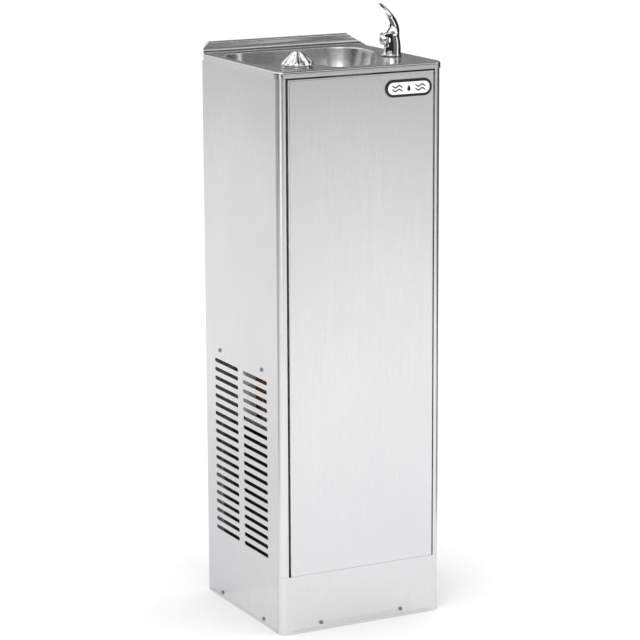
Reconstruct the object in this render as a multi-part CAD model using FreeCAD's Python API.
"""Floor-standing refrigerated drinking fountain, modelled piece by piece.

Millimetres, +Z up. The origin is on the floor, at the centre of the footprint.
+X is the user's right, -Y is the front, +Y is the wall side.
"""
import FreeCAD, Part
import math
import os

from FreeCAD import Vector

# ---- overall size -------------------------------------------------------------
CABINET_WIDTH = 316.0
CABINET_DEPTH = 303.0
TOP_OVERHANG = 1.8
RIM_Z = 990.0
SKIRT_BOTTOM_Z = 978.0
PANEL_TOP_Z = 977.6
FRONT_PANEL_TOP_Z = 975.4
RIDGE_TOP_Z = 1011.0
KICK_TOP_Z = 105.0

HALF_WIDTH = CABINET_WIDTH / 2
BACK_Y = (CABINET_DEPTH + TOP_OVERHANG) / 2
FRONT_Y = BACK_Y - CABINET_DEPTH
TOP_HALF_WIDTH = HALF_WIDTH + TOP_OVERHANG
TOP_FRONT_Y = FRONT_Y - TOP_OVERHANG

# ---- sheet metal --------------------------------------------------------------
SHEET = 1.2
FRAME_SHEET = 1.5
TOP_SHEET = 1.6
CORNER_RADIUS = 13.2
SEAM_INSET = 14.2
LEFT_SEAM_GAP = 4.4
RIGHT_SEAM_GAP = 0.5
FRONT_FLANGE_DEPTH = 12.0
BACK_FLANGE_WIDTH = 22.0
TOP_RETURN = 11.0
FRONT_PANEL_DEPTH = 13.0
FRONT_PANEL_EDGE_RADIUS = 4.0
PANEL_GAP = 0.3
POST_INSET = 3.0
POST_CLEARANCE = 0.8
KICK_RETURN = 18.0
HEM_HEIGHT = 5.0
HEM_THICKNESS = 0.6
BASE_TOP_Z = 25.0
BASE_FOOT_WIDTH = 12.0

# ---- ventilation slots --------------------------------------------------------
SLOT_ROWS = 20
SLOT_PITCH = 16.4
SLOT_FIRST_Z = 127.9
SLOT_LENGTH = 95.0
SLOT_HEIGHT = 7.2
SLOT_COLUMN_YS = (FRONT_Y + 52.0, FRONT_Y + 168.0)

# ---- frame --------------------------------------------------------------------
POST_LEG = 18.0
POST_FRONT_Y = FRONT_Y + 17.5
BACK_POST_LEG = 36.0
RAIL_TOP_Z = 475.0
RAIL_HEIGHT = 22.0
RAIL_LEG = 20.0
SHELF_TOP_Z = RAIL_TOP_Z + FRAME_SHEET
BACK_PANEL_BOTTOM_Z = 200.0
BACK_PANEL_Y = BACK_Y - 2.4

# ---- screws -------------------------------------------------------------------
SCREW_SHANK_RADIUS = 1.9
SCREW_HOLE_RADIUS = 2.0
SCREW_HEAD_RADIUS = 3.6
SCREW_HEAD_HEIGHT = 2.0
SCREW_LENGTH = 8.0
KICK_SCREW_XS = (-81.0, 78.0)
KICK_SCREW_Z = 13.5
SIDE_SCREW_YS = (FRONT_Y + 72.5, FRONT_Y + 242.0)
SIDE_SCREW_ZS = (10.5, 464.0)
BACK_SCREW_X = 124.0
BACK_SCREW_ZS = (225.0, 580.0, 935.0)

# ---- bowl ---------------------------------------------------------------------
BOWL_DEPTH = 66.0
DRAIN_X = -6.0
DRAIN_Y = 14.0
RIM_EDGE_RADIUS = 5.0
BOWL_EDGE_RADIUS = 3.0
BOWL_EDGE_DEPTHS = (-0.01, 0.4, 1.2, 3.0)

# ---- bubbler and valve --------------------------------------------------------
BUBBLER_X = 115.5
BUBBLER_Y = -45.5
BUBBLER_AIM_DEG = -26.5
KNOB_X = -94.5
KNOB_Y = -97.5
DECK_HOLE_RADIUS = 9.3
SHANK_RADIUS = 9.0

# ---- running fits -------------------------------------------------------------
RUNNING_CLEARANCE = 0.05
COPPER_TUBE_RADIUS = 3.2
CAPILLARY_RADIUS = 1.2
BEND_RADIUS = 16.0

NODES = {}


# ---- helpers ------------------------------------------------------------------
def box(x0, x1, y0, y1, z0, z1):
    """Box between two corners."""
    return Part.makeBox(x1 - x0, y1 - y0, z1 - z0, Vector(x0, y0, z0))


def cylinder(radius, start, end):
    """Cylinder between two points."""
    start = Vector(*start)
    along = Vector(*end) - start
    return Part.makeCylinder(radius, along.Length, start, along)


def ring(outer, inner, start, end):
    """Hollow cylinder between two points."""
    return cylinder(outer, start, end).cut(cylinder(inner, start, end))


def fuse_all(shapes):
    """One shape from several that touch."""
    result = shapes[0]
    if len(shapes) > 1:
        result = result.multiFuse(shapes[1:])
    return result.removeSplitter()


def edges_where(shape, test):
    """Edges whose middle point passes the test."""
    found = []
    for edge in shape.Edges:
        middle = edge.valueAt((edge.FirstParameter + edge.LastParameter) / 2)
        if test(middle, edge):
            found.append(edge)
    return found


def is_vertical(edge):
    """Whether an edge is a straight line along Z."""
    start = edge.Vertexes[0].Point
    end = edge.Vertexes[-1].Point
    return abs(start.x - end.x) < 1e-6 and abs(start.y - end.y) < 1e-6


def rounded_box(x0, x1, y0, y1, z0, z1, radius):
    """Box with rounded vertical edges."""
    shape = box(x0, x1, y0, y1, z0, z1)
    return shape.makeFillet(radius, edges_where(shape, lambda p, e: is_vertical(e)))


def corner_pieces(points, radii, closed):
    """Straight runs and tangent arcs through 2-D points, as edges at z = 0."""
    count = len(points)
    entries = []
    for index, (x, y) in enumerate(points):
        here = Vector(x, y, 0)
        radius = radii[index]
        at_end = not closed and index in (0, count - 1)
        if at_end or radius <= 0:
            entries.append((here, here, None))
            continue
        before = (Vector(*points[index - 1], 0) - here).normalize()
        after = (Vector(*points[(index + 1) % count], 0) - here).normalize()
        half_angle = before.getAngle(after) / 2
        tangent = radius / math.tan(half_angle)
        bisector = (before + after).normalize()
        middle = here + bisector * (radius / math.sin(half_angle) - radius)
        entries.append((here + before * tangent, here + after * tangent, middle))
    edges = []
    for index, (enter, leave, middle) in enumerate(entries):
        if middle is not None:
            edges.append(Part.Arc(enter, middle, leave).toShape())
        if closed or index < count - 1:
            following = entries[(index + 1) % count][0]
            if (following - leave).Length > 1e-6:
                edges.append(Part.makeLine(leave, following))
    return edges


def offset_outline(points, radii, distance, closed):
    """Move a 2-D outline to its left by a distance, with matching corner radii."""
    count = len(points)
    moved = []
    moved_radii = []
    for index, (x, y) in enumerate(points):
        here = Vector(x, y, 0)
        normals = []
        headings = []
        if closed or index > 0:
            headings.append((here - Vector(*points[index - 1], 0)).normalize())
        if closed or index < count - 1:
            headings.append((Vector(*points[(index + 1) % count], 0) - here).normalize())
        for heading in headings:
            normals.append(Vector(-heading.y, heading.x, 0))
        shift = normals[0] * distance
        turn = 0.0
        if len(normals) == 2:
            shift = (normals[0] + normals[1]) * (distance / (1 + normals[0].dot(normals[1])))
            turn = headings[0].cross(headings[1]).z
        moved.append((x + shift.x, y + shift.y))
        radius = radii[index]
        if radius > 0 and turn != 0:
            radius = max(radius - math.copysign(distance, turn), 0.0)
        moved_radii.append(radius)
    return moved, moved_radii


def prism(points, radii, z0, z1):
    """Upright prism on a closed outline with rounded corners."""
    wire = Part.Wire(corner_pieces(points, radii, True))
    wire.translate(Vector(0, 0, z0))
    return Part.Face(wire).extrude(Vector(0, 0, z1 - z0))


def bent_sheet(points, radii, thickness, z0, z1):
    """Upright sheet bent along an open path; the thickness lies to the path's left."""
    inner_points, inner_radii = offset_outline(points, radii, thickness, False)
    outer = corner_pieces(points, radii, False)
    inner = corner_pieces(inner_points, inner_radii, False)
    start_cap = Part.makeLine(Vector(*inner_points[0], 0), Vector(*points[0], 0))
    end_cap = Part.makeLine(Vector(*points[-1], 0), Vector(*inner_points[-1], 0))
    edges = Part.sortEdges(outer + [end_cap] + inner + [start_cap])[0]
    wire = Part.Wire(edges)
    wire.translate(Vector(0, 0, z0))
    return Part.Face(wire).extrude(Vector(0, 0, z1 - z0))


def profile_along_y(points, y0, y1):
    """Prism along Y on a closed polygon of (x, z) points."""
    wire = Part.makePolygon([Vector(x, y0, z) for x, z in points + [points[0]]])
    return Part.Face(wire).extrude(Vector(0, y1 - y0, 0))


def revolved(points, x, y):
    """Solid of revolution about the vertical line through (x, y), from (radius, z) points."""
    wire = Part.makePolygon([Vector(r, 0, z) for r, z in points + [points[0]]])
    shape = Part.Face(wire).revolve(Vector(0, 0, 0), Vector(0, 0, 1), 360)
    shape.translate(Vector(x, y, 0))
    return shape


def rounded_path(corners, bend_radius):
    """Edges of straight runs between the corners, joined by tangent arcs."""
    edges = []
    start = corners[0]
    for index in range(1, len(corners) - 1):
        here = corners[index]
        before = (corners[index - 1] - here).normalize()
        after = (corners[index + 1] - here).normalize()
        half_angle = before.getAngle(after) / 2
        tangent = bend_radius / math.tan(half_angle)
        middle = here + (before + after).normalize() * (bend_radius / math.sin(half_angle) - bend_radius)
        enter = here + before * tangent
        leave = here + after * tangent
        edges.append(Part.makeLine(start, enter))
        edges.append(Part.Arc(enter, middle, leave).toShape())
        start = leave
    edges.append(Part.makeLine(start, corners[-1]))
    return edges


def tube(points, radius, bend_radius=BEND_RADIUS):
    """Round rod along straight runs joined by tangent arcs."""
    corners = [Vector(*point) for point in points]
    path = Part.Wire(rounded_path(corners, bend_radius))
    section = Part.Wire(Part.makeCircle(radius, corners[0], corners[1] - corners[0]))
    return path.makePipeShell([section], True, False)


def coil(radius, pitch, turns, wire_radius, wire_sides):
    """Coil spring or coiled tube round the Z axis, its section a polygon with flats."""
    points = []
    for index in range(wire_sides + 1):
        angle = 2 * math.pi * (index + 0.5) / wire_sides
        points.append(Vector(radius + wire_radius * math.cos(angle), 0, wire_radius * math.sin(angle)))
    path = Part.Wire(Part.makeHelix(pitch, pitch * turns, radius).Edges)
    return path.makePipeShell([Part.makePolygon(points)], True, True)


def mirrored(shape):
    """Mirror image across the plane x = 0."""
    return shape.mirror(Vector(0, 0, 0), Vector(1, 0, 0))


def pan_head_screw(point, inward):
    """Panel screw whose head rests on the panel at a point."""
    at = Vector(*point)
    into = Vector(*inward)
    head_top = at - into * SCREW_HEAD_HEIGHT
    head = cylinder(SCREW_HEAD_RADIUS, tuple(at), tuple(head_top))
    rim = edges_where(head, lambda p, e: (p - head_top).dot(into) < 1e-6 and e.Closed)
    head = head.makeFillet(SCREW_HEAD_HEIGHT * 0.6, rim)
    shank = cylinder(SCREW_SHANK_RADIUS, tuple(at), tuple(at + into * SCREW_LENGTH))
    screw = head.fuse(shank)
    sideways = into.cross(Vector(0, 0, 1))
    for direction in (Vector(0, 0, 1), sideways):
        half_run = direction * 2.4
        slot = cylinder(0.5, tuple(head_top - half_run), tuple(head_top + half_run))
        screw = screw.cut(slot)
    return screw


def screw_hole(point, inward):
    """Clearance hole for one panel screw."""
    at = Vector(*point)
    into = Vector(*inward)
    return cylinder(SCREW_HOLE_RADIUS, tuple(at - into * 3), tuple(at + into * (SCREW_LENGTH + 4)))


def hex_nut(radius_across_flats, bore_radius, x, y, z0, z1):
    """Hexagonal nut about a vertical axis."""
    corner = radius_across_flats / math.cos(math.pi / 6)
    points = []
    for index in range(6):
        angle = math.radians(60 * index)
        points.append((x + corner * math.cos(angle), y + corner * math.sin(angle)))
    nut = prism(points, [0] * 6, z0, z1)
    return nut.cut(cylinder(bore_radius, (x, y, z0 - 1), (x, y, z1 + 1)))


# ---- screw places, shared by the panels and the frame --------------------------
KICK_FACE_Y = FRONT_Y + PANEL_GAP
KICK_SCREWS = [((x, KICK_FACE_Y, KICK_SCREW_Z), (0, 1, 0)) for x in KICK_SCREW_XS]
LEFT_SCREWS = [((-HALF_WIDTH, y, z), (1, 0, 0)) for y in SIDE_SCREW_YS for z in SIDE_SCREW_ZS]
RIGHT_SCREWS = [((HALF_WIDTH, y, z), (-1, 0, 0)) for y in SIDE_SCREW_YS for z in SIDE_SCREW_ZS]
BACK_SCREWS = [((side * BACK_SCREW_X, BACK_PANEL_Y, z), (0, -1, 0))
               for side in (-1, 1) for z in BACK_SCREW_ZS]
ALL_SCREWS = KICK_SCREWS + LEFT_SCREWS + RIGHT_SCREWS + BACK_SCREWS


def drilled(shape):
    """Drill every panel screw hole that the shape meets."""
    bounds = shape.BoundBox
    for point, inward in ALL_SCREWS:
        hole = screw_hole(point, inward)
        if bounds.intersect(hole.BoundBox):
            shape = shape.cut(hole)
    return shape


# ---- top with bowl ------------------------------------------------------------
BOWL_FRONT_Y = TOP_FRONT_Y + 16.0
BOWL_BACK_Y = BACK_Y - 20.0
BOWL_LEFT_X = -HALF_WIDTH + 14.0
BOWL_RIGHT_X = HALF_WIDTH - 27.0
KNOB_PAD_RADIUS = 50.0
BOWL_OUTLINE = [
    (KNOB_X + KNOB_PAD_RADIUS, BOWL_FRONT_Y),
    (40.5, BOWL_FRONT_Y),
    (124.5, 33.5),
    (BOWL_RIGHT_X, BOWL_BACK_Y),
    (BOWL_LEFT_X, BOWL_BACK_Y),
    (BOWL_LEFT_X, KNOB_Y + KNOB_PAD_RADIUS),
    (KNOB_X + KNOB_PAD_RADIUS, KNOB_Y + KNOB_PAD_RADIUS),
]
BOWL_RADII = [24.0, 60.0, 60.0, 52.0, 60.0, 32.0, KNOB_PAD_RADIUS]
BOWL_SECTIONS = ((0.0, 0.0), (2.0, 0.16), (6.0, 0.45), (12.5, 0.75), (20.0, 0.92), (29.0, 1.0))
BOWL_LEAST_RADIUS = 4.0


def bowl_solid(growth, drop):
    """The hollow of the bowl, grown outwards by a distance and lowered by another."""
    wires = []
    for inset, share in BOWL_SECTIONS:
        points, radii = offset_outline(BOWL_OUTLINE, BOWL_RADII, inset - growth, True)
        radii = [max(radius, BOWL_LEAST_RADIUS) for radius in radii]
        wire = Part.Wire(corner_pieces(points, radii, True))
        wire.translate(Vector(0, 0, RIM_Z - BOWL_DEPTH * share - drop))
        wires.append(wire)
    return Part.makeLoft(wires, True, False)


def bowl_edge_solid():
    """Flare that rounds the edge between the deck and the bowl."""
    wires = []
    for depth in BOWL_EDGE_DEPTHS:
        reach = BOWL_EDGE_RADIUS - max(depth, 0.0)
        inset = -(BOWL_EDGE_RADIUS - math.sqrt(BOWL_EDGE_RADIUS ** 2 - reach ** 2))
        points, radii = offset_outline(BOWL_OUTLINE, BOWL_RADII, inset, True)
        wire = Part.Wire(corner_pieces(points, radii, True))
        wire.translate(Vector(0, 0, RIM_Z - depth))
        wires.append(wire)
    return Part.makeLoft(wires, True, False)


def ridge_profile():
    """Closed (y, z) face of the splash ridge: cove in front, rolled bead on top."""
    bead_radius = 4.6
    bead_y = BACK_Y - bead_radius
    bead_z = RIDGE_TOP_Z - bead_radius
    foot = Vector(0, BACK_Y - 19.0, RIM_Z)
    crease = Vector(0, bead_y - bead_radius + 0.8, bead_z - 3.2)
    cove_middle = Vector(0, BACK_Y - 11.5, RIM_Z + 3.2)
    bead_front = Vector(0, bead_y - bead_radius, bead_z)
    bead_top = Vector(0, bead_y, bead_z + bead_radius)
    bead_turn = bead_radius / math.sqrt(2)
    bead_middle = Vector(0, bead_y - bead_turn, bead_z + bead_turn)
    bead_back = Vector(0, BACK_Y, bead_z)
    bead_back_middle = Vector(0, bead_y + bead_turn, bead_z + bead_turn)
    low_back = Vector(0, BACK_Y, RIM_Z - RIM_EDGE_RADIUS - 1.0)
    low_front = Vector(0, BACK_Y - 19.0, RIM_Z - RIM_EDGE_RADIUS - 1.0)
    edges = [
        Part.Arc(foot, cove_middle, crease).toShape(),
        Part.makeLine(crease, bead_front),
        Part.Arc(bead_front, bead_middle, bead_top).toShape(),
        Part.Arc(bead_top, bead_back_middle, bead_back).toShape(),
        Part.makeLine(bead_back, low_back),
        Part.makeLine(low_back, low_front),
        Part.makeLine(low_front, foot),
    ]
    return Part.Face(Part.Wire(edges))


def make_basin_top():
    """Drawn top: skirt, deck, bowl and splash ridge as one thin sheet."""
    bowl_outside = bowl_solid(TOP_SHEET, TOP_SHEET)
    hollow = bowl_solid(0.0, 0.0)
    headroom = prism(BOWL_OUTLINE, BOWL_RADII, RIM_Z - 0.01, RIM_Z + 1.0)
    skirt = rounded_box(-TOP_HALF_WIDTH, TOP_HALF_WIDTH, TOP_FRONT_Y, BACK_Y,
                        SKIRT_BOTTOM_Z, RIM_Z, CORNER_RADIUS + TOP_OVERHANG)
    crest = edges_where(skirt, lambda p, e: p.z > RIM_Z - 0.1 and p.y < BACK_Y - 17.0)
    skirt = skirt.makeFillet(RIM_EDGE_RADIUS, crest)
    ridge = ridge_profile().extrude(Vector(2 * TOP_HALF_WIDTH, 0, 0))
    ridge.translate(Vector(-TOP_HALF_WIDTH, 0, 0))
    end_shape = [
        (-TOP_HALF_WIDTH, RIM_Z - 8.0),
        (-TOP_HALF_WIDTH, RIM_Z + 7.0),
        (-TOP_HALF_WIDTH + 14.0, RIDGE_TOP_Z + 0.5),
        (TOP_HALF_WIDTH - 34.0, RIDGE_TOP_Z + 0.5),
        (TOP_HALF_WIDTH, RIM_Z + 1.0),
        (TOP_HALF_WIDTH, RIM_Z - 8.0),
    ]
    ridge = ridge.common(profile_along_y(end_shape, BACK_Y - 30.0, BACK_Y + 1.0))
    footprint = rounded_box(-TOP_HALF_WIDTH, TOP_HALF_WIDTH, TOP_FRONT_Y, BACK_Y,
                            RIM_Z - 8.0, RIDGE_TOP_Z + 1.0, CORNER_RADIUS + TOP_OVERHANG)
    ridge = ridge.common(footprint)
    outer = skirt.fuse(ridge).cut(headroom)
    outer = outer.fuse(bowl_outside).cut(hollow).cut(bowl_edge_solid())
    under = rounded_box(-TOP_HALF_WIDTH + TOP_SHEET, TOP_HALF_WIDTH - TOP_SHEET,
                        TOP_FRONT_Y + TOP_SHEET, BACK_Y - TOP_SHEET,
                        SKIRT_BOTTOM_Z + TOP_SHEET, RIM_Z - TOP_SHEET, CORNER_RADIUS)
    under = under.makeFillet(RIM_EDGE_RADIUS - TOP_SHEET,
                             edges_where(under, lambda p, e: p.z > RIM_Z - TOP_SHEET - 0.1))
    lip = 5.0
    mouth = rounded_box(-TOP_HALF_WIDTH + lip, TOP_HALF_WIDTH - lip, TOP_FRONT_Y + lip,
                        BACK_Y - lip, SKIRT_BOTTOM_Z - 1.0, SKIRT_BOTTOM_Z + 4.0, CORNER_RADIUS)
    shell = outer.cut(under.fuse(mouth).cut(bowl_outside))
    shell = shell.cut(cylinder(DECK_HOLE_RADIUS, (BUBBLER_X, BUBBLER_Y, RIM_Z - 12),
                               (BUBBLER_X, BUBBLER_Y, RIM_Z + 12)))
    shell = shell.cut(cylinder(DECK_HOLE_RADIUS, (KNOB_X, KNOB_Y, RIM_Z - 12),
                               (KNOB_X, KNOB_Y, RIM_Z + 12)))
    floor_z = RIM_Z - BOWL_DEPTH
    shell = shell.cut(cylinder(DRAIN_HOLE_RADIUS, (DRAIN_X, DRAIN_Y, floor_z - 10),
                               (DRAIN_X, DRAIN_Y, floor_z + 5)))
    return shell.Solids[0]


# ---- cabinet panels -----------------------------------------------------------
def stadium_along_x(x0, x1, y0, y1, z0, z1):
    """Prism along X whose (y, z) outline is a slot with fully rounded ends."""
    radius = (z1 - z0) / 2
    centre_z = (z0 + z1) / 2
    parts = [
        box(x0, x1, y0 + radius, y1 - radius, z0, z1),
        cylinder(radius, (x0, y0 + radius, centre_z), (x1, y0 + radius, centre_z)),
        cylinder(radius, (x0, y1 - radius, centre_z), (x1, y1 - radius, centre_z)),
    ]
    return fuse_all(parts)


def side_top_return():
    """Flange turned inwards along the top of the left panel, notched round the front post."""
    x = -HALF_WIDTH
    back = BACK_PANEL_Y - SHEET - POST_LEG - 2.0
    corner_y = FRONT_Y + FRONT_FLANGE_DEPTH
    outline = [(x, back), (x, FRONT_Y), (x + SEAM_INSET, FRONT_Y), (x + SEAM_INSET, corner_y),
               (x + TOP_RETURN, corner_y + 2.0), (x + TOP_RETURN, back)]
    radii = [0, CORNER_RADIUS - 0.4, 0.5, 0, 0, 0]
    flange = prism(outline, radii, PANEL_TOP_Z - SHEET, PANEL_TOP_Z)
    post_x = x + SHEET + POST_INSET
    notch = box(post_x - 1.0, post_x + POST_LEG, POST_FRONT_Y - 1.0, POST_FRONT_Y + POST_LEG + 1.0,
                PANEL_TOP_Z - SHEET - 1.0, PANEL_TOP_Z + 1.0)
    return flange.cut(notch)


def make_left_side_panel():
    """Side sheet that wraps the front corner, with its ventilation slots, hem and back flange."""
    x = -HALF_WIDTH
    seam_x = x + SEAM_INSET
    path = [
        (x + BACK_FLANGE_WIDTH, BACK_Y),
        (x, BACK_Y),
        (x, FRONT_Y),
        (seam_x, FRONT_Y),
        (seam_x, FRONT_Y + FRONT_FLANGE_DEPTH),
    ]
    radii = [0, 3.0, CORNER_RADIUS - 0.4, 0.5, 0]
    panel = bent_sheet(path, radii, SHEET, 0.0, PANEL_TOP_Z)
    notch_y = FRONT_Y + KICK_RETURN
    panel = panel.cut(box(x - 5, seam_x + 5, FRONT_Y - 5, notch_y, -1, KICK_TOP_Z))
    hem = box(x - HEM_THICKNESS, x + SHEET, notch_y, BACK_Y - 4.0, 0, HEM_HEIGHT)
    panel = panel.fuse(hem).fuse(side_top_return())
    slots = []
    for y0 in SLOT_COLUMN_YS:
        for row in range(SLOT_ROWS):
            z0 = SLOT_FIRST_Z + row * SLOT_PITCH
            slots.append(stadium_along_x(x - SHEET, x + 2 * SHEET, y0, y0 + SLOT_LENGTH,
                                         z0, z0 + SLOT_HEIGHT))
    return panel.cut(Part.makeCompound(slots))


def make_front_panel():
    """Front sheet with rolled edges and flanges turned inwards."""
    x0 = -HALF_WIDTH + SEAM_INSET + LEFT_SEAM_GAP
    x1 = HALF_WIDTH - SEAM_INSET - RIGHT_SEAM_GAP
    y1 = FRONT_Y + FRONT_PANEL_DEPTH
    outer = box(x0, x1, FRONT_Y, y1, KICK_TOP_Z, FRONT_PANEL_TOP_Z)
    rolled = edges_where(outer, lambda p, e: p.y < FRONT_Y + 0.1 and p.z > KICK_TOP_Z + 1.0)
    outer = outer.makeFillet(FRONT_PANEL_EDGE_RADIUS, rolled)
    inner = box(x0 + SHEET, x1 - SHEET, FRONT_Y + SHEET, y1 + 5.0,
                KICK_TOP_Z + SHEET, FRONT_PANEL_TOP_Z - SHEET)
    rolled = edges_where(inner, lambda p, e: p.y < FRONT_Y + SHEET + 0.1 and p.z > KICK_TOP_Z + SHEET + 1.0)
    inner = inner.makeFillet(FRONT_PANEL_EDGE_RADIUS - SHEET, rolled)
    return outer.cut(inner)


def make_kick_plate():
    """Plate across the front below the front panel, with rounded corners and short returns."""
    x = HALF_WIDTH
    y = FRONT_Y + PANEL_GAP
    return_y = FRONT_Y + KICK_RETURN - PANEL_GAP
    path = [(-x, return_y), (-x, y), (x, y), (x, return_y)]
    radii = [0, CORNER_RADIUS, CORNER_RADIUS, 0]
    plate = bent_sheet(path, radii, SHEET, 0.0, KICK_TOP_Z - PANEL_GAP)
    hem_path = [(-x + 20, y - HEM_THICKNESS), (x - 20, y - HEM_THICKNESS)]
    hem = bent_sheet(hem_path, [0, 0], HEM_THICKNESS + 0.5, 0.0, HEM_HEIGHT)
    return drilled(plate.fuse(hem))


def make_back_panel():
    """Flat upper back sheet between the side panels' flanges."""
    half = HALF_WIDTH - BACK_FLANGE_WIDTH - 1.5
    panel = box(-half, half, BACK_PANEL_Y - SHEET, BACK_PANEL_Y, BACK_PANEL_BOTTOM_Z, PANEL_TOP_Z - 2.0)
    return drilled(panel)


def make_base_pan():
    """Inverted tray that carries the compressor, with turned-in feet."""
    side = HALF_WIDTH - SHEET
    front = FRONT_Y + PANEL_GAP + SHEET
    back = BACK_Y - SHEET
    outline = [(-side, front), (side, front), (side, back), (-side, back)]
    radii = [CORNER_RADIUS - SHEET, CORNER_RADIUS - SHEET, 1.8, 1.8]
    outer = prism(outline, radii, 0.0, BASE_TOP_Z)
    inner_points, inner_radii = offset_outline(outline, radii, FRAME_SHEET, True)
    hollow = prism(inner_points, inner_radii, FRAME_SHEET, BASE_TOP_Z - FRAME_SHEET)
    foot_points, foot_radii = offset_outline(outline, radii, BASE_FOOT_WIDTH, True)
    mouth = prism(foot_points, foot_radii, -1.0, FRAME_SHEET + 1.0)
    pan = outer.cut(hollow).cut(mouth)
    for x, y in compressor_feet_places():
        pan = pan.cut(cylinder(COMPRESSOR_BOLT_RADIUS + 0.1, (x, y, BASE_TOP_Z - 5), (x, y, BASE_TOP_Z + 1)))
    return drilled(pan)


def make_cabinet():
    """Panels of the cabinet."""
    left = make_left_side_panel()
    NODES["left_side_panel"] = drilled(left)
    NODES["right_side_panel"] = drilled(mirrored(left))
    NODES["front_panel"] = make_front_panel()
    NODES["kick_plate"] = make_kick_plate()
    NODES["back_panel"] = make_back_panel()
    NODES["base_pan"] = make_base_pan()
    NODES["basin_top"] = make_basin_top()


# ---- frame --------------------------------------------------------------------
def make_frame():
    """Corner posts, side rails and the shelf for the cooling tank."""
    x = HALF_WIDTH - SHEET
    post_top = RIM_Z - TOP_SHEET - POST_CLEARANCE
    y0 = POST_FRONT_Y
    post_x = x - POST_INSET
    front_path = [(-post_x, y0 + POST_LEG), (-post_x, y0), (-post_x + POST_LEG, y0)]
    front_left = bent_sheet(front_path, [0, 1.6, 0], FRAME_SHEET, BASE_TOP_Z, post_top)
    NODES["front_left_post"] = front_left
    NODES["front_right_post"] = mirrored(front_left)
    y1 = BACK_PANEL_Y - SHEET
    back_path = [(-x + BACK_POST_LEG, y1), (-x, y1), (-x, y1 - POST_LEG)]
    back_left = bent_sheet(back_path, [0, 2.0, 0], FRAME_SHEET, BASE_TOP_Z, PANEL_TOP_Z)
    back_left = drilled(back_left)
    NODES["back_left_post"] = back_left
    NODES["back_right_post"] = drilled(mirrored(back_left))
    rail = box(-x, -x + FRAME_SHEET, y0 + POST_LEG, y1 - POST_LEG, RAIL_TOP_Z - RAIL_HEIGHT, RAIL_TOP_Z)
    ledge = box(-x, -x + RAIL_LEG, y0 + POST_LEG, y1 - POST_LEG, RAIL_TOP_Z - FRAME_SHEET, RAIL_TOP_Z)
    left_rail = drilled(rail.fuse(ledge).removeSplitter())
    NODES["side_rails"] = Part.makeCompound([left_rail, drilled(mirrored(left_rail))])
    shelf_y0 = y0 + POST_LEG + 1.0
    shelf_y1 = SHELF_BACK_Y
    plate = box(-x + 2, x - 2, shelf_y0, shelf_y1, RAIL_TOP_Z, SHELF_TOP_Z)
    inner_x = x - RAIL_LEG - 3.0
    lips = [box(-inner_x, inner_x, shelf_y0, shelf_y0 + FRAME_SHEET, RAIL_TOP_Z - 12, RAIL_TOP_Z),
            box(-inner_x, inner_x, shelf_y1 - FRAME_SHEET, shelf_y1, RAIL_TOP_Z - 12, RAIL_TOP_Z)]
    shelf = fuse_all([plate] + lips)
    for hole_x, hole_y, radius in ((WASTE_X, WASTE_Y, TAILPIECE_RADIUS + 2.0),
                                   (TANK_X, TANK_Y, COPPER_TUBE_RADIUS + 0.8)):
        shelf = shelf.cut(cylinder(radius, (hole_x, hole_y, RAIL_TOP_Z - 20),
                                   (hole_x, hole_y, SHELF_TOP_Z + 1)))
    NODES["component_shelf"] = shelf


# ---- name plate and screws ------------------------------------------------------
PLATE_X = -HALF_WIDTH + 249.6
PLATE_Z = 948.0
PLATE_LENGTH = 91.0
PLATE_HEIGHT = 30.4
PLATE_BORDER = 4.8
PLATE_THICKNESS = 1.8
PLATE_FACE_THICKNESS = 0.9


def stadium_along_y(x_centre, z_centre, length, height, y0, y1):
    """Prism along Y whose (x, z) outline is a slot with fully rounded ends."""
    radius = height / 2
    reach = length / 2 - radius
    parts = [
        box(x_centre - reach, x_centre + reach, y0, y1, z_centre - radius, z_centre + radius),
        cylinder(radius, (x_centre - reach, y0, z_centre), (x_centre - reach, y1, z_centre)),
        cylinder(radius, (x_centre + reach, y0, z_centre), (x_centre + reach, y1, z_centre)),
    ]
    return fuse_all(parts)


def make_name_plate():
    """Plain oval plate: a dark frame with a light face let into it."""
    front = FRONT_Y - PLATE_THICKNESS
    frame = stadium_along_y(PLATE_X, PLATE_Z, PLATE_LENGTH, PLATE_HEIGHT, front, FRONT_Y)
    rim = edges_where(frame, lambda p, e: p.y < front + 0.01)
    frame = frame.makeFillet(0.8, rim)
    inner_length = PLATE_LENGTH - 2 * PLATE_BORDER
    inner_height = PLATE_HEIGHT - 2 * PLATE_BORDER
    recess = stadium_along_y(PLATE_X, PLATE_Z, inner_length, inner_height,
                             front - 1.0, front + PLATE_FACE_THICKNESS)
    face = stadium_along_y(PLATE_X, PLATE_Z, inner_length, inner_height,
                           front + 0.3, front + PLATE_FACE_THICKNESS)
    NODES["name_plate_frame"] = frame.cut(recess)
    NODES["name_plate_face"] = face


def make_screws():
    """The identical screws of all the panels."""
    screws = [pan_head_screw(point, inward) for point, inward in ALL_SCREWS]
    NODES["panel_screws"] = Part.makeCompound(screws)


# ---- bubbler --------------------------------------------------------------------
GASKET_THICKNESS = 1.2
BUBBLER_BASE_RADIUS = 18.0
BUBBLER_BASE_HEIGHT = 2.6
BUBBLER_BASE_FILLET = 1.2
# height over the base, centre and half sizes of the bubbler's upright column
COLUMN_SECTIONS = (
    (0.0, 0.6, 16.8, 16.8),
    (7.0, 1.6, 15.2, 15.4),
    (16.0, 2.0, 14.6, 14.0),
    (27.0, 0.6, 14.6, 13.2),
    (39.0, 1.0, 13.4, 13.0),
)
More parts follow.
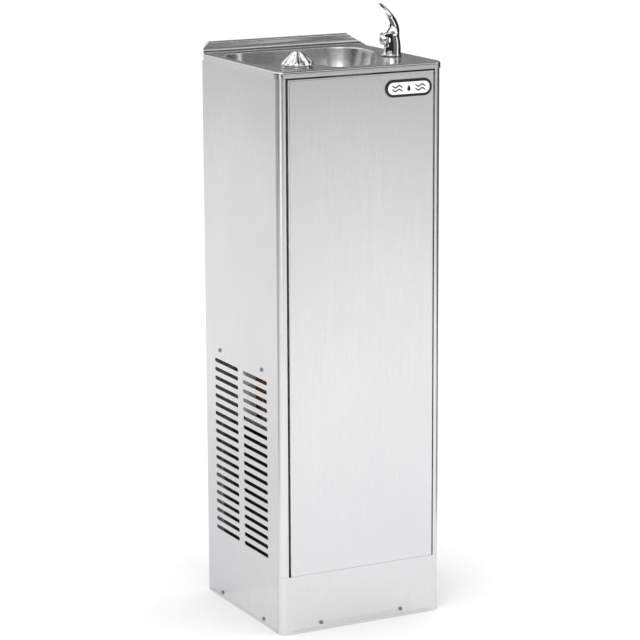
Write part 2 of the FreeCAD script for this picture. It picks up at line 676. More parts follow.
# reach, centre height, half width and half height of the bubbler's spout
SPOUT_SECTIONS = (
    (2.0, 26.6, 11.0, 11.0),
    (-8.0, 27.2, 10.4, 10.8),
    (-14.0, 28.2, 9.6, 10.0),
    (-17.6, 28.4, 8.8, 9.2),
    (-19.4, 28.2, 7.8, 8.2),
    (-20.2, 27.8, 6.4, 7.0),
)
NOZZLE_RADIUS = 3.2
NOZZLE_BORE = 2.0
NOZZLE_START = (-12.4, 32.4)
NOZZLE_END = (-18.4, 38.4)
HOOD_WALL = 2.4
# height over the deck, front rim, back and half width of the mouth guard
HOOD_SECTIONS = (
    (39.0, -8.0, 14.2, 13.0),
    (48.0, -3.2, 13.8, 14.0),
    (57.0, -2.6, 11.2, 14.2),
    (66.0, -6.4, 6.6, 13.6),
    (75.0, -12.6, -0.4, 12.0),
    (84.0, -18.6, -9.2, 9.0),
    (90.5, -22.4, -16.6, 4.6),
)


def ellipse_wire(x, half_x, half_y, z):
    """Closed ellipse in a horizontal plane, centred on the X axis."""
    points = []
    steps = 16
    for index in range(steps):
        angle = 2 * math.pi * index / steps
        points.append(Vector(x + half_x * math.cos(angle), half_y * math.sin(angle), z))
    curve = Part.BSplineCurve()
    curve.interpolate(points, PeriodicFlag=True)
    return Part.Wire(curve.toShape())


def upright_ellipse_wire(x, z, half_y, half_z):
    """Closed ellipse in a plane square to the X axis."""
    points = []
    steps = 16
    for index in range(steps):
        angle = 2 * math.pi * index / steps
        points.append(Vector(x, half_y * math.cos(angle), z + half_z * math.sin(angle)))
    curve = Part.BSplineCurve()
    curve.interpolate(points, PeriodicFlag=True)
    return Part.Wire(curve.toShape())


def scoop_wire(front, back, half_width, z):
    """Half-ellipse open towards -X, closed by a straight line."""
    steps = 8
    points = []
    for index in range(steps + 1):
        angle = -math.pi / 2 + math.pi * index / steps
        points.append(Vector(front + (back - front) * math.cos(angle), half_width * math.sin(angle), z))
    curve = Part.BSplineCurve()
    curve.interpolate(points)
    return Part.Wire([curve.toShape(), Part.makeLine(points[-1], points[0])])


def in_bubbler_place(shape, z=RIM_Z + GASKET_THICKNESS):
    """Turn a bubbler piece towards the bowl and set it on its gasket."""
    shape.rotate(Vector(0, 0, 0), Vector(0, 0, 1), BUBBLER_AIM_DEG)
    shape.translate(Vector(BUBBLER_X, BUBBLER_Y, z))
    return shape


def make_bubbler():
    """Bubbler with its mouth guard, nozzle, gasket, shank and lock nut."""
    base = Part.makeCylinder(BUBBLER_BASE_RADIUS, BUBBLER_BASE_HEIGHT)
    top_edge = edges_where(base, lambda p, e: p.z > BUBBLER_BASE_HEIGHT - 0.1 and e.Closed)
    base = base.makeFillet(BUBBLER_BASE_FILLET, top_edge)
    column = Part.makeLoft([ellipse_wire(x, a, b, z) for z, x, a, b in COLUMN_SECTIONS], True, False)
    spout = Part.makeLoft([upright_ellipse_wire(*section) for section in SPOUT_SECTIONS], True, False)
    body = fuse_all([base, column, spout])
    nozzle_start = (NOZZLE_START[0], 0, NOZZLE_START[1])
    nozzle_end = (NOZZLE_END[0], 0, NOZZLE_END[1])
    nozzle = cylinder(NOZZLE_RADIUS, nozzle_start, nozzle_end)
    body = body.cut(nozzle)
    beyond_end = (nozzle_end[0] - 3.0, 0, nozzle_end[2] + 3.0)
    body = body.cut(cylinder(NOZZLE_RADIUS, nozzle_end, beyond_end))
    body = body.cut(cylinder(SHANK_RADIUS - 2.0, (0, 0, -1), (0, 0, 12)))
    before_start = (nozzle_start[0] + 2.0, 0, nozzle_start[2] - 2.0)
    nozzle = nozzle.cut(cylinder(NOZZLE_BORE, before_start, beyond_end))
    outer = Part.makeLoft([scoop_wire(front, back, half, z) for z, front, back, half in HOOD_SECTIONS],
                          True, False)
    inner_sections = []
    for z, front, back, half in HOOD_SECTIONS:
        inner_sections.append(scoop_wire(front - 3.0, back - HOOD_WALL, half - HOOD_WALL * 0.9, z))
    inner = Part.makeLoft(inner_sections[1:], True, False)
    hood = outer.cut(inner)
    NODES["bubbler_body"] = in_bubbler_place(body)
    NODES["bubbler_nozzle"] = in_bubbler_place(nozzle)
    NODES["bubbler_hood"] = in_bubbler_place(hood)
    gasket = ring(BUBBLER_BASE_RADIUS, DECK_HOLE_RADIUS, (0, 0, -GASKET_THICKNESS), (0, 0, 0))
    NODES["bubbler_gasket"] = in_bubbler_place(gasket)
    shank = ring(SHANK_RADIUS - 2.0, 3.4, (0, 0, -32), (0, 0, 12))
    collar = ring(SHANK_RADIUS, SHANK_RADIUS - 2.0, (0, 0, -32), (0, 0, 0))
    NODES["bubbler_shank"] = in_bubbler_place(fuse_all([shank, collar]))


# ---- valve ----------------------------------------------------------------------
ESCUTCHEON_HEIGHT = 2.4
ESCUTCHEON_RADIUS = 28.0
KNOB_BOTTOM = 3.0
KNOB_TOP = 27.0
KNOB_RECESS_HEIGHT = 23.8
KNOB_LOBES = 6
STEM_TOP = 17.0
SPRING_RADIUS = 7.6
SPRING_PITCH = 3.4
SPRING_TURNS = 6
SPRING_WIRE_RADIUS = 0.85
SPRING_WIRE_SIDES = 8
STEM_RADIUS = 4.0
VALVE_BODY_RADIUS = 14.0
VALVE_BODY_TOP = RIM_Z - TOP_SHEET - 8.0
VALVE_BODY_BOTTOM = VALVE_BODY_TOP - 46.0
VALVE_INLET_Z = VALVE_BODY_BOTTOM - 8.0


def make_valve():
    """Self-closing valve with its turn handle."""
    z = RIM_Z
    escutcheon = revolved([
        (DECK_HOLE_RADIUS, z), (ESCUTCHEON_RADIUS, z), (ESCUTCHEON_RADIUS, z + 1.0),
        (26.0, z + 1.9), (24.0, z + ESCUTCHEON_HEIGHT), (DECK_HOLE_RADIUS, z + ESCUTCHEON_HEIGHT),
    ], KNOB_X, KNOB_Y)
    NODES["valve_escutcheon"] = escutcheon
    knob = revolved([
        (0, z + KNOB_BOTTOM), (29.0, z + KNOB_BOTTOM), (30.0, z + 5.4), (27.4, z + 9.4),
        (20.6, z + 15.6), (14.8, z + 20.4), (9.8, z + 24.3), (5.0, z + 26.5), (0, z + KNOB_TOP),
    ], KNOB_X, KNOB_Y)
    flutes = []
    for index in range(KNOB_LOBES):
        angle = 2 * math.pi * (index + 0.5) / KNOB_LOBES
        low = Vector(KNOB_X + 38.5 * math.cos(angle), KNOB_Y + 38.5 * math.sin(angle), z - 1.0)
        high = Vector(KNOB_X + 10.5 * math.cos(angle), KNOB_Y + 10.5 * math.sin(angle), z + 36.0)
        flutes.append(cylinder(8.6, tuple(low), tuple(high)))
    knob = knob.cut(Part.makeCompound(flutes))
    recess_z = z + KNOB_RECESS_HEIGHT
    knob = knob.cut(cylinder(5.0, (KNOB_X, KNOB_Y, recess_z), (KNOB_X, KNOB_Y, z + 40)))
    knob = knob.cut(cylinder(STEM_RADIUS, (KNOB_X, KNOB_Y, z), (KNOB_X, KNOB_Y, z + STEM_TOP)))
    knob = knob.cut(cylinder(2.0, (KNOB_X, KNOB_Y, z + STEM_TOP - 1.0), (KNOB_X, KNOB_Y, z + 30)))
    NODES["valve_knob"] = knob
    cap_z = z + KNOB_TOP - 0.4
    cap = cylinder(4.8, (KNOB_X, KNOB_Y, recess_z), (KNOB_X, KNOB_Y, cap_z))
    cap = cap.makeFillet(1.4, edges_where(cap, lambda p, e: p.z > cap_z - 0.1 and e.Closed))
    thread = cylinder(1.9, (KNOB_X, KNOB_Y, z + 10.0), (KNOB_X, KNOB_Y, recess_z))
    NODES["knob_screw"] = cap.fuse(thread)
    stem_bottom = VALVE_BODY_BOTTOM + 10.0
    stem = cylinder(STEM_RADIUS, (KNOB_X, KNOB_Y, stem_bottom), (KNOB_X, KNOB_Y, z + STEM_TOP))
    cam = cylinder(7.0, (KNOB_X, KNOB_Y, stem_bottom), (KNOB_X, KNOB_Y, stem_bottom + 4.0))
    stem = stem.fuse(cam)
    stem = stem.cut(cylinder(1.95, (KNOB_X, KNOB_Y, z + 9.0), (KNOB_X, KNOB_Y, z + 19.0)))
    NODES["valve_stem"] = stem
    axis_low = (KNOB_X, KNOB_Y, VALVE_BODY_BOTTOM)
    axis_high = (KNOB_X, KNOB_Y, z + ESCUTCHEON_HEIGHT - 0.4)
    neck = cylinder(SHANK_RADIUS, (KNOB_X, KNOB_Y, VALVE_BODY_TOP), axis_high)
    barrel = cylinder(VALVE_BODY_RADIUS, axis_low, (KNOB_X, KNOB_Y, VALVE_BODY_TOP))
    inlet = cylinder(6.0, (KNOB_X, KNOB_Y, VALVE_INLET_Z), axis_low)
    outlet = cylinder(6.0, (KNOB_X, KNOB_Y, VALVE_BODY_BOTTOM + 30),
                      (KNOB_X + 26, KNOB_Y, VALVE_BODY_BOTTOM + 30))
    boss = cylinder(6.5, (KNOB_X, KNOB_Y, VALVE_BODY_BOTTOM + 18),
                    (KNOB_X, KNOB_Y + 21, VALVE_BODY_BOTTOM + 18))
    body = fuse_all([neck, barrel, inlet, outlet, boss])
    chamber_low = (KNOB_X, KNOB_Y, VALVE_BODY_BOTTOM + 6)
    chamber_high = (KNOB_X, KNOB_Y, VALVE_BODY_TOP - 4)
    body = body.cut(cylinder(10.0, chamber_low, chamber_high))
    body = body.cut(cylinder(STEM_RADIUS + RUNNING_CLEARANCE, chamber_high, (KNOB_X, KNOB_Y, z + 20)))
    screw_z = VALVE_BODY_BOTTOM + 18
    body = body.cut(cylinder(2.5 + RUNNING_CLEARANCE, (KNOB_X, KNOB_Y + 8, screw_z),
                             (KNOB_X, KNOB_Y + 22, screw_z)))
    NODES["valve_body"] = body
    spring = coil(SPRING_RADIUS, SPRING_PITCH, SPRING_TURNS, SPRING_WIRE_RADIUS, SPRING_WIRE_SIDES)
    spring.translate(Vector(KNOB_X, KNOB_Y, stem_bottom + 5.6))
    NODES["valve_spring"] = spring
    adjuster = cylinder(2.5, (KNOB_X, KNOB_Y + 12, screw_z), (KNOB_X, KNOB_Y + 21.4, screw_z))
    head = cylinder(4.6, (KNOB_X, KNOB_Y + 21.4, screw_z), (KNOB_X, KNOB_Y + 24.4, screw_z))
    slot = box(KNOB_X - 6, KNOB_X + 6, KNOB_Y + 23.2, KNOB_Y + 25, screw_z - 0.6, screw_z + 0.6)
    NODES["flow_adjusting_screw"] = adjuster.fuse(head).cut(slot)


def make_lock_nuts():
    """The two identical nuts that hold the bubbler and the valve under the deck."""
    top = RIM_Z - TOP_SHEET
    nuts = [hex_nut(13.0, SHANK_RADIUS, x, y, top - 7.0, top)
            for x, y in ((BUBBLER_X, BUBBLER_Y), (KNOB_X, KNOB_Y))]
    NODES["deck_lock_nuts"] = Part.makeCompound(nuts)


# ---- drain ----------------------------------------------------------------------
DRAIN_HOLE_RADIUS = 20.0
TAILPIECE_RADIUS = 15.875
TAILPIECE_BORE = 14.6
WASTE_X = -98.0
WASTE_Y = 106.0
WASTE_OUTLET_Z = 110.0


def make_drain():
    """Strainer, drain body, slip nut and the waste pipe down to the back outlet."""
    floor_z = RIM_Z - BOWL_DEPTH
    flange_top = floor_z + 1.4
    body = revolved([
        (TAILPIECE_BORE, floor_z - 44), (TAILPIECE_RADIUS, floor_z - 44), (TAILPIECE_RADIUS, floor_z - 16),
        (DRAIN_HOLE_RADIUS - 0.1, floor_z - 12), (DRAIN_HOLE_RADIUS - 0.1, floor_z), (26.0, floor_z),
        (26.0, flange_top), (18.6, flange_top), (18.6, floor_z - 1.2), (17.0, floor_z - 1.2),
        (17.0, floor_z - 12), (TAILPIECE_BORE, floor_z - 15),
    ], DRAIN_X, DRAIN_Y)
    bridge = box(DRAIN_X - 17.5, DRAIN_X + 17.5, DRAIN_Y - 2.5, DRAIN_Y + 2.5, floor_z - 8, floor_z - 4)
    body = body.fuse(bridge)
    body = body.cut(cylinder(2.0, (DRAIN_X, DRAIN_Y, floor_z - 9), (DRAIN_X, DRAIN_Y, floor_z)))
    NODES["drain_body"] = body
    strainer = cylinder(18.4, (DRAIN_X, DRAIN_Y, floor_z - 1.2), (DRAIN_X, DRAIN_Y, floor_z + 0.3))
    holes = []
    for count, radius in ((6, 6.6), (12, 11.0), (16, 15.2)):
        for index in range(count):
            angle = 2 * math.pi * index / count
            x = DRAIN_X + radius * math.cos(angle)
            y = DRAIN_Y + radius * math.sin(angle)
            holes.append(cylinder(1.5, (x, y, floor_z - 3), (x, y, floor_z + 2)))
    holes.append(cylinder(2.0, (DRAIN_X, DRAIN_Y, floor_z - 3), (DRAIN_X, DRAIN_Y, floor_z + 2)))
    NODES["drain_strainer"] = strainer.cut(Part.makeCompound(holes))
    screw_seat = floor_z + 0.3
    head = cylinder(3.8, (DRAIN_X, DRAIN_Y, screw_seat), (DRAIN_X, DRAIN_Y, screw_seat + 1.6))
    head = head.makeFillet(0.8, edges_where(head, lambda p, e: p.z > screw_seat + 1.5 and e.Closed))
    head = head.cut(box(DRAIN_X - 5, DRAIN_X + 5, DRAIN_Y - 0.5, DRAIN_Y + 0.5,
                        screw_seat + 0.8, screw_seat + 3))
    shank = cylinder(1.9, (DRAIN_X, DRAIN_Y, floor_z - 9), (DRAIN_X, DRAIN_Y, screw_seat))
    NODES["strainer_screw"] = head.fuse(shank)
    nut_z = floor_z - 30
    slip_nut = ring(21.5, TAILPIECE_RADIUS, (DRAIN_X, DRAIN_Y, nut_z), (DRAIN_X, DRAIN_Y, nut_z + 12))
    NODES["drain_slip_nut"] = slip_nut
    top_z = floor_z - 44
    bend = 24.0
    route = [(DRAIN_X, DRAIN_Y, top_z), (DRAIN_X, DRAIN_Y, top_z - 46), (WASTE_X, WASTE_Y, top_z - 92),
             (WASTE_X, WASTE_Y, WASTE_OUTLET_Z), (WASTE_X, WASTE_Y + bend + 0.5, WASTE_OUTLET_Z)]
    pipe = tube(route, TAILPIECE_RADIUS, bend)
    outlet = cylinder(TAILPIECE_RADIUS, route[-1], (WASTE_X, BACK_Y - 4.0, WASTE_OUTLET_Z))
    NODES["waste_pipe"] = pipe.fuse(outlet)


# ---- refrigeration ----------------------------------------------------------------
COMPRESSOR_X = 72.0
COMPRESSOR_Y = 8.0
COMPRESSOR_RADIUS = 66.0
COMPRESSOR_HEIGHT = 150.0
COMPRESSOR_FOOT_SPAN = 58.0
COMPRESSOR_BOLT_RADIUS = 3.5
GROMMET_HEIGHT = 12.0
PLATE_SHEET = 3.0
CONDENSER_X0 = -146.0
CONDENSER_X1 = -110.0
CONDENSER_HALF_Y = 88.0
CONDENSER_Z0 = 135.0
CONDENSER_Z1 = 325.0
CONDENSER_ROWS = 6
CONDENSER_ROW_PITCH = 31.0
CONDENSER_TUBE_RADIUS = 4.6
CONDENSER_TAIL_BEND = 16.0
CONDENSER_FIN_REACH = 68.0
CONDENSER_FIN_PITCH = 5.0
DRIER_X = -60.0
DRIER_Y = 134.0
DRIER_Z0 = 330.0
DRIER_Z1 = 420.0
SHROUD_X = CONDENSER_X1
FAN_Z = 230.0
FAN_RADIUS = 68.0
FAN_X = -92.0
MOTOR_X0 = -74.0
MOTOR_X1 = -26.0


def compressor_feet_places():
    """Bolt centres of the compressor's four feet."""
    places = []
    for side_x in (-1, 1):
        for side_y in (-1, 1):
            places.append((COMPRESSOR_X + side_x * COMPRESSOR_FOOT_SPAN,
                           COMPRESSOR_Y + side_y * COMPRESSOR_FOOT_SPAN))
    return places


def make_compressor():
    """Hermetic compressor on its plate, grommets and bolts."""
    plate_z = BASE_TOP_Z + GROMMET_HEIGHT
    shell_z = plate_z + PLATE_SHEET
    r = COMPRESSOR_RADIUS
    top = shell_z + COMPRESSOR_HEIGHT
    shell = revolved([
        (0, shell_z), (r * 0.55, shell_z), (r * 0.86, shell_z + 10), (r * 0.97, shell_z + 28),
        (r * 0.98, shell_z + 62), (r + 4, shell_z + 63), (r + 4, shell_z + 69), (r, shell_z + 70),
        (r * 0.99, shell_z + 112), (r * 0.9, shell_z + 132), (r * 0.66, top - 6), (r * 0.34, top), (0, top),
    ], COMPRESSOR_X, COMPRESSOR_Y)
    span = COMPRESSOR_FOOT_SPAN + 12.0
    plate = rounded_box(COMPRESSOR_X - span, COMPRESSOR_X + span, COMPRESSOR_Y - span,
                        COMPRESSOR_Y + span, plate_z, shell_z, 14.0)
    grommets = []
    bolts = []
    for x, y in compressor_feet_places():
        plate = plate.cut(cylinder(6.0, (x, y, plate_z - 1), (x, y, shell_z + 1)))
        lower = ring(10.0, COMPRESSOR_BOLT_RADIUS, (x, y, BASE_TOP_Z), (x, y, plate_z))
        waist = ring(6.0, COMPRESSOR_BOLT_RADIUS, (x, y, plate_z), (x, y, shell_z))
        upper = ring(9.0, COMPRESSOR_BOLT_RADIUS, (x, y, shell_z), (x, y, shell_z + 3))
        grommets.append(fuse_all([lower, waist, upper]))
        shank = cylinder(COMPRESSOR_BOLT_RADIUS, (x, y, BASE_TOP_Z - 9), (x, y, shell_z + 3))
        head = cylinder(7.0, (x, y, shell_z + 3), (x, y, shell_z + 7))
        bolts.append(shank.fuse(head))
    NODES["compressor_shell"] = shell.fuse(plate)
    NODES["compressor_grommets"] = Part.makeCompound(grommets)
    NODES["compressor_bolts"] = Part.makeCompound(bolts)


def serpentine(places, half_length, tail):
    """Centre line of a tube that runs to and fro along Y through (x, z) places, then along a tail."""
    edges = []
    side = 1
    for index, (x, z) in enumerate(places):
        end = Vector(x, side * half_length, z)
        edges.append(Part.makeLine(Vector(x, -side * half_length, z), end))
        if index + 1 < len(places):
            next_x, next_z = places[index + 1]
            following = Vector(next_x, side * half_length, next_z)
            reach = (following - end).Length / 2
            middle = (end + following) * 0.5 + Vector(0, side * reach, 0)
            edges.append(Part.Arc(end, middle, following).toShape())
        side = -side
    return edges + rounded_path([end] + [Vector(*point) for point in tail], CONDENSER_TAIL_BEND)


def make_condenser():
    """Finned condenser with its outlet tube to the drier, fan shroud, motor and blade."""
    rows = [CONDENSER_Z0 + 18.0 + row * CONDENSER_ROW_PITCH for row in range(CONDENSER_ROWS)]
    tube_places = [(CONDENSER_X1 - 9.0, z) for z in reversed(rows)]
    tube_places += [(CONDENSER_X0 + 9.0, z) for z in rows[:-1]]
    bore_reach = CONDENSER_HALF_Y + 5.0
    bores = [cylinder(CONDENSER_TUBE_RADIUS, (x, -bore_reach, z), (x, bore_reach, z)) for x, z in tube_places]
    bores = Part.makeCompound(bores)
    fins = []
    for index in range(int(2 * CONDENSER_FIN_REACH / CONDENSER_FIN_PITCH) + 1):
        y = -CONDENSER_FIN_REACH + index * CONDENSER_FIN_PITCH
        fin = box(CONDENSER_X0, CONDENSER_X1 - 2, y, y + 0.8, CONDENSER_Z0 + 2, CONDENSER_Z1 - 2)
        fins.append(fin.cut(bores))
    NODES["condenser_fins"] = Part.makeCompound(fins)
    outlet_z = tube_places[-1][1]
    tail = [(CONDENSER_X0 + 9.0, DRIER_Y, outlet_z), (DRIER_X, DRIER_Y, outlet_z),
            (DRIER_X, DRIER_Y, DRIER_Z0)]
    route = serpentine(tube_places, CONDENSER_FIN_REACH + 1.0, tail)
    first = tube_places[0]
    section = Part.makeCircle(CONDENSER_TUBE_RADIUS, Vector(first[0], -CONDENSER_FIN_REACH - 1.0, first[1]),
                              Vector(0, 1, 0))
    NODES["condenser_tube"] = Part.Wire(route).makePipeShell([Part.Wire(section)], True, False)
    shroud = box(SHROUD_X, SHROUD_X + FRAME_SHEET, -CONDENSER_HALF_Y - 4, CONDENSER_HALF_Y + 4,
                 BASE_TOP_Z, CONDENSER_Z1 + 12)
    shroud = shroud.fuse(ring(FAN_RADIUS + 6, FAN_RADIUS + 4.5, (SHROUD_X, 0, FAN_Z),
                              (SHROUD_X + 26, 0, FAN_Z)))
    foot = box(SHROUD_X, SHROUD_X + 22, -CONDENSER_HALF_Y - 4, CONDENSER_HALF_Y + 4,
               BASE_TOP_Z, BASE_TOP_Z + FRAME_SHEET)
    shroud = shroud.fuse(foot)
    shroud_back = CONDENSER_HALF_Y + 4
    side_return = box(-HALF_WIDTH + 3.0, SHROUD_X, shroud_back - FRAME_SHEET, shroud_back,
                      BASE_TOP_Z, CONDENSER_Z1 + 12)
    outlet_hole = cylinder(CONDENSER_TUBE_RADIUS + 1.0, (CONDENSER_X0 + 9.0, shroud_back - 5.0, outlet_z),
                           (CONDENSER_X0 + 9.0, shroud_back + 5.0, outlet_z))
    shroud = shroud.fuse(side_return.cut(outlet_hole))
    shroud = shroud.cut(cylinder(FAN_RADIUS + 4.5, (SHROUD_X - 2, 0, FAN_Z), (SHROUD_X + 30, 0, FAN_Z)))
    NODES["fan_shroud"] = shroud
    motor = cylinder(38.0, (MOTOR_X0, 0, FAN_Z), (MOTOR_X1, 0, FAN_Z))
    motor = motor.makeFillet(5.0, [e for e in motor.Edges if e.Closed and e.Length > 200])
    nose = cylinder(11.0, (MOTOR_X0 - 6, 0, FAN_Z), (MOTOR_X0, 0, FAN_Z))
    motor = motor.fuse(nose)
    shaft_radius = 3.0
    motor = motor.cut(cylinder(shaft_radius + RUNNING_CLEARANCE, (MOTOR_X0 - 10, 0, FAN_Z),
                               (MOTOR_X1 - 8, 0, FAN_Z)))
    NODES["fan_motor"] = motor
    shaft = cylinder(shaft_radius, (FAN_X - 4, 0, FAN_Z), (MOTOR_X1 - 8.4, 0, FAN_Z))
    hub = cylinder(13.0, (FAN_X - 4, 0, FAN_Z), (FAN_X + 8, 0, FAN_Z))
    blades = [hub]
    for index in range(5):
        blade = box(-0.7, 0.7, -22.0, 22.0, 11.5, FAN_RADIUS)
        corners = edges_where(blade, lambda p, e: p.z > FAN_RADIUS - 0.1 and abs(p.y) > 21.9)
        blade = blade.makeFillet(14.0, corners)
        blade.rotate(Vector(0, 0, 0), Vector(0, 0, 1), 66)
        blade.rotate(Vector(0, 0, 0), Vector(1, 0, 0), 72 * index)
        blade.translate(Vector(FAN_X + 2, 0, FAN_Z))
        blades.append(blade)
    reach = cylinder(FAN_RADIUS, (FAN_X - 14, 0, FAN_Z), (FAN_X + 20, 0, FAN_Z))
    slab = box(FAN_X - 8.0, FAN_X + 12.0, -100, 100, FAN_Z - 100, FAN_Z + 100)
    NODES["fan_blade"] = fuse_all(blades).common(reach).common(slab).fuse(shaft)
    bracket_x = MOTOR_X0 + 20
    arm = box(bracket_x, bracket_x + 14, -7, 7, BASE_TOP_Z + FRAME_SHEET, FAN_Z - 30)
    foot = box(bracket_x - 10, bracket_x + 24, -20, 20, BASE_TOP_Z, BASE_TOP_Z + FRAME_SHEET)
    clamp = ring(40.0, 38.0, (bracket_x, 0, FAN_Z), (bracket_x + 14, 0, FAN_Z))
    bracket = fuse_all([arm, foot, clamp]).cut(
        cylinder(38.0, (MOTOR_X0, 0, FAN_Z), (MOTOR_X1, 0, FAN_Z)))
    NODES["fan_bracket"] = bracket


TANK_X = 34.0
TANK_Y = 10.0
TANK_RADIUS = 42.0
TANK_Z0 = 540.0
TANK_Z1 = 740.0
COIL_RADIUS = TANK_RADIUS + 5.2
COIL_PITCH = 10.0
COIL_TURNS = 15
COIL_TUBE_RADIUS = 4.6
COIL_TUBE_SIDES = 12
JACKET_RADIUS = 84.0
SHELF_BACK_Y = 122.0


def make_cooling():
    """Cooling tank with its evaporator coil in a foam jacket, and the refrigerant lines."""
    axis = (TANK_X, TANK_Y)
    tank = cylinder(TANK_RADIUS, (*axis, TANK_Z0), (*axis, TANK_Z1))
    tank = tank.makeFillet(12.0, [e for e in tank.Edges if e.Closed])
    NODES["cooling_tank"] = tank
    evaporator = coil(COIL_RADIUS, COIL_PITCH, COIL_TURNS, COIL_TUBE_RADIUS, COIL_TUBE_SIDES)
    evaporator.translate(Vector(*axis, TANK_Z0 + 25.0))
    NODES["evaporator_coil"] = evaporator
    jacket = cylinder(JACKET_RADIUS, (*axis, SHELF_TOP_Z), (*axis, TANK_Z1 + 50.0))
    jacket = jacket.makeFillet(8.0, edges_where(jacket, lambda p, e: p.z > TANK_Z1 + 49 and e.Closed))
    cavity = cylinder(COIL_RADIUS + 5.4, (*axis, TANK_Z0 + 14.0), (*axis, TANK_Z1 - 14.0))
    cavity = cavity.fuse(cylinder(TANK_RADIUS + 0.3, (*axis, TANK_Z0 - 0.3), (*axis, TANK_Z1 + 0.3)))
    jacket = jacket.cut(cavity)
    for z in (SHELF_TOP_Z - 1.0, TANK_Z1):
        jacket = jacket.cut(cylinder(COPPER_TUBE_RADIUS + 0.4, (*axis, z), (*axis, z + 70.0)))
    for z in (TANK_Z0 + 24.0, TANK_Z1 - 24.0):
        jacket = jacket.cut(box(TANK_X + 48, TANK_X + 100, TANK_Y - 8, TANK_Y + 8, z - 8, z + 8))
    left = box(TANK_X - 120, TANK_X - 0.2, TANK_Y - 120, TANK_Y + 120, SHELF_TOP_Z - 1, TANK_Z1 + 80)
    right = box(TANK_X + 0.2, TANK_X + 120, TANK_Y - 120, TANK_Y + 120, SHELF_TOP_Z - 1, TANK_Z1 + 80)
    NODES["foam_jacket_left"] = jacket.common(left)
    NODES["foam_jacket_right"] = jacket.common(right)


def make_lines():
    """Refrigerant and water lines, as runs joined by arcs."""
    shell_z = BASE_TOP_Z + GROMMET_HEIGHT + PLATE_SHEET
    line_x = 136.0
    suction = [(COMPRESSOR_X + 17, COMPRESSOR_Y, shell_z + COMPRESSOR_HEIGHT),
               (COMPRESSOR_X + 17, COMPRESSOR_Y, 240.0),
               (line_x, 138.0, 290.0),
               (line_x, 138.0, TANK_Z0 + 24.0),
               (TANK_X + COIL_RADIUS + 46.0, TANK_Y, TANK_Z0 + 24.0),
               (TANK_X + COIL_RADIUS + 5.2, TANK_Y, TANK_Z0 + 24.0)]
    NODES["suction_line"] = tube(suction, 4.0)
    inlet_z = CONDENSER_Z0 + 18.0 + (CONDENSER_ROWS - 1) * CONDENSER_ROW_PITCH
    inlet_x = CONDENSER_X1 - 9.0
    discharge = [(COMPRESSOR_X - 14, COMPRESSOR_Y - 10, shell_z + COMPRESSOR_HEIGHT),
                 (COMPRESSOR_X - 14, COMPRESSOR_Y - 10, 352.0),
                 (-80.0, -100.0, 352.0),
                 (inlet_x, -100.0, 352.0),
                 (inlet_x, -100.0, inlet_z),
                 (inlet_x, -CONDENSER_FIN_REACH - 1.3, inlet_z)]
    NODES["discharge_line"] = tube(discharge, COPPER_TUBE_RADIUS)
    drier = cylinder(11.0, (DRIER_X, DRIER_Y, DRIER_Z0), (DRIER_X, DRIER_Y, DRIER_Z1))
    drier = drier.makeFillet(7.0, [e for e in drier.Edges if e.Closed])
    NODES["filter_drier"] = drier
    capillary = [(DRIER_X, DRIER_Y, DRIER_Z1), (DRIER_X, DRIER_Y, 600.0),
                 (line_x, 138.0, 700.0), (line_x, 60.0, TANK_Z1 - 24.0),
                 (TANK_X + COIL_RADIUS + 46.0, TANK_Y, TANK_Z1 - 24.0),
                 (TANK_X + COIL_RADIUS + 5.2, TANK_Y, TANK_Z1 - 24.0)]
    NODES["capillary_tube"] = tube(capillary, CAPILLARY_RADIUS, 10.0)


# ---- controls and services -----------------------------------------------------
THERMOSTAT_X = -70.0
THERMOSTAT_FRONT_Y = -96.0
STOP_VALVE_X = 8.0
STOP_VALVE_Y = 108.0
STOP_VALVE_Z = 120.0
INLET_RADIUS = 4.7625


def make_controls():
    """Thermostat, junction box and cord gland."""
    z0 = RAIL_TOP_Z - 50.0
    body = rounded_box(THERMOSTAT_X - 24, THERMOSTAT_X + 24, THERMOSTAT_FRONT_Y,
                       THERMOSTAT_FRONT_Y + 34, z0, RAIL_TOP_Z, 3.0)
    dial_z = z0 + 25.0
    stem_r = 3.0
    body = body.cut(cylinder(stem_r + RUNNING_CLEARANCE, (THERMOSTAT_X, THERMOSTAT_FRONT_Y - 1, dial_z),
                             (THERMOSTAT_X, THERMOSTAT_FRONT_Y + 12, dial_z)))
    NODES["thermostat_body"] = body
    front = THERMOSTAT_FRONT_Y - 0.4
    dial = cylinder(15.0, (THERMOSTAT_X, front - 10, dial_z), (THERMOSTAT_X, front, dial_z))
    for index in range(12):
        angle = 2 * math.pi * index / 12
        x = THERMOSTAT_X + 15.6 * math.cos(angle)
        z = dial_z + 15.6 * math.sin(angle)
        dial = dial.cut(cylinder(1.8, (x, front - 11, z), (x, front - 2, z)))
    stem = cylinder(stem_r, (THERMOSTAT_X, front, dial_z), (THERMOSTAT_X, front + 11, dial_z))
    NODES["thermostat_dial"] = dial.fuse(stem)
    jx0, jx1, jy0, jy1 = 62.0, 132.0, 96.0, 140.0
    shell = rounded_box(jx0, jx1, jy0, jy1, BASE_TOP_Z, BASE_TOP_Z + 62, 4.0)
    hollow = box(jx0 + 1.6, jx1 - 1.6, jy0 + 1.6, jy1 - 1.6, BASE_TOP_Z + 1.6, BASE_TOP_Z + 60.4)
    gland_x = 97.0
    gland_z = BASE_TOP_Z + 38.0
    shell = shell.cut(hollow).cut(cylinder(9.0, (gland_x, jy1 - 6, gland_z), (gland_x, jy1 + 6, gland_z)))
    NODES["junction_box"] = shell
    gland = ring(9.0, 4.0, (gland_x, jy1 - 5, gland_z), (gland_x, jy1, gland_z))
    flange = ring(12.0, 4.0, (gland_x, jy1, gland_z), (gland_x, jy1 + 6, gland_z))
    NODES["cord_gland"] = fuse_all([gland, flange])


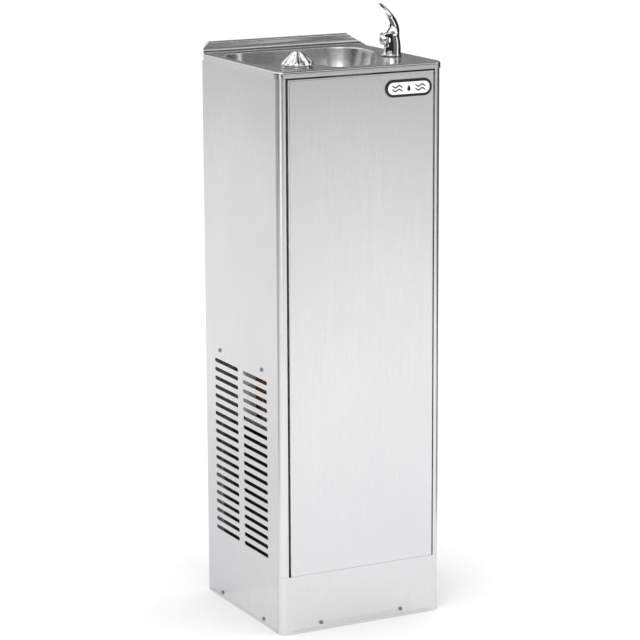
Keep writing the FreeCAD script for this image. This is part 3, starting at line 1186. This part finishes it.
def make_water():
    """Stop valve with its handle, and the water tubes."""
    x, y, z = STOP_VALVE_X, STOP_VALVE_Y, STOP_VALVE_Z
    body = cylinder(11.0, (x, y, z - 16), (x, y, z + 20))
    inlet_shoulder = cylinder(9.0, (x, y, z), (x, y + 22, z))
    inlet = cylinder(INLET_RADIUS, (x, y + 22, z), (x, y + 42, z))
    neck = cylinder(7.0, (x, y, z), (x, y - 20, z))
    body = fuse_all([body, inlet_shoulder, inlet, neck])
    stem_r = 3.0
    body = body.cut(cylinder(stem_r + RUNNING_CLEARANCE, (x, y - 21, z), (x, y - 4, z)))
    NODES["stop_valve_body"] = body
    stem = cylinder(stem_r, (x, y - 28, z), (x, y - 4.4, z))
    handle = stadium_along_y(x, z, 46.0, 13.0, y - 32, y - 23)
    NODES["stop_valve_handle"] = handle.fuse(stem)
    under_shelf = RAIL_TOP_Z - 35.0
    supply = [(x, y, z + 20), (x, y, under_shelf), (TANK_X, TANK_Y, under_shelf),
              (TANK_X, TANK_Y, TANK_Z0)]
    NODES["supply_tube"] = tube(supply, COPPER_TUBE_RADIUS, 12.0)
    outlet_z = VALVE_BODY_BOTTOM + 30
    cold = [(TANK_X, TANK_Y, TANK_Z1), (TANK_X, TANK_Y, 806.0), (TANK_X, -70.0, 806.0),
            (KNOB_X, KNOB_Y, 840.0), (KNOB_X, KNOB_Y, VALVE_INLET_Z)]
    NODES["cold_water_tube"] = tube(cold, COPPER_TUBE_RADIUS, 12.0)
    shank_bottom = RIM_Z + GASKET_THICKNESS - 32
    run_x = KNOB_X + 40.5
    run_z = RIM_Z - BOWL_DEPTH - 20.0
    to_bubbler = [(KNOB_X + 26, KNOB_Y, outlet_z), (run_x, KNOB_Y, outlet_z), (run_x, KNOB_Y, run_z),
                  (BUBBLER_X, KNOB_Y, run_z), (BUBBLER_X, BUBBLER_Y, run_z),
                  (BUBBLER_X, BUBBLER_Y, shank_bottom)]
    NODES["bubbler_tube"] = tube(to_bubbler, COPPER_TUBE_RADIUS, 12.0)


def main():
    """Make every piece and write one file per node."""
    make_cabinet()
    make_frame()
    make_name_plate()
    make_screws()
    make_bubbler()
    make_valve()
    make_lock_nuts()
    make_drain()
    make_compressor()
    make_condenser()
    make_cooling()
    make_lines()
    make_controls()
    make_water()
    os.makedirs("parts", exist_ok=True)
    for name, shape in NODES.items():
        shape.exportStep("parts/" + name + ".step")
        bounds = shape.BoundBox
        print(f"{name}: {len(shape.Solids)} solids, valid {shape.isValid()}, "
              f"volume {shape.Volume / 1000:.1f} cm3, "
              f"x {bounds.XMin:.1f}..{bounds.XMax:.1f} y {bounds.YMin:.1f}..{bounds.YMax:.1f} "
              f"z {bounds.ZMin:.1f}..{bounds.ZMax:.1f}")
    print(len(NODES), "nodes")


main()
